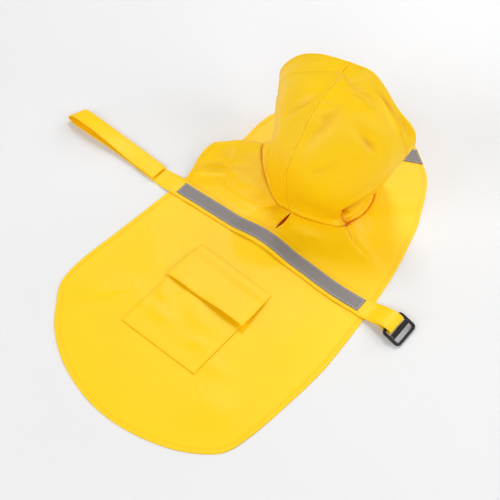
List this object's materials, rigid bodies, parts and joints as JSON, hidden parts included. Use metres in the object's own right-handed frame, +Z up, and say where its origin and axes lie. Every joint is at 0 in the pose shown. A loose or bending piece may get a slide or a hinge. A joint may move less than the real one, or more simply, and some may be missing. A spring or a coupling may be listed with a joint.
{
  "type": "dog raincoat",
  "caption": "Hooded dog raincoat laid out flat with its hood standing: one-piece body with neck hole and overlapped chest, back strap with slide buckle, flap pocket and reflective tapes.",
  "frame": {"origin": "middle of the coat's box, on the surface that it lies on", "axes": "+Y along the back from tail to chest, +X across the back towards the buckle, +Z up"},
  "size_m": [0.5764, 0.5862, 0.2034],
  "materials": {
    "coated_cloth": "satin, coated woven cloth",
    "reflective_tape": "ribbed reflective tape",
    "hook_tape": "matte hooks",
    "loop_tape": "matte loops",
    "buckle_plastic": "moulded, satin"
  },
  "bodies": {
    "coat": {"coat_body": "coated_cloth", "hood_right": "coated_cloth", "hood_left": "coated_cloth", "back_strap": "coated_cloth", "pocket_bag": "coated_cloth", "pocket_flap": "coated_cloth", "tape_back": "reflective_tape", "tape_chest": "reflective_tape", "chest_hook_tape": "hook_tape", "chest_loop_tape": "loop_tape", "tail_hook_tape": "hook_tape", "tail_loop_tape": "loop_tape"},
    "slide_buckle": {"buckle": "buckle_plastic"}
  },
  "joints": [
    {"name": "buckle_turn", "type": "hinge", "parent": "coat", "child": "slide_buckle", "pos_m": [0.26309, 0.01726, 0.0104], "axis": [0, -1, 0], "range_deg": [0, 150]}
  ]
}
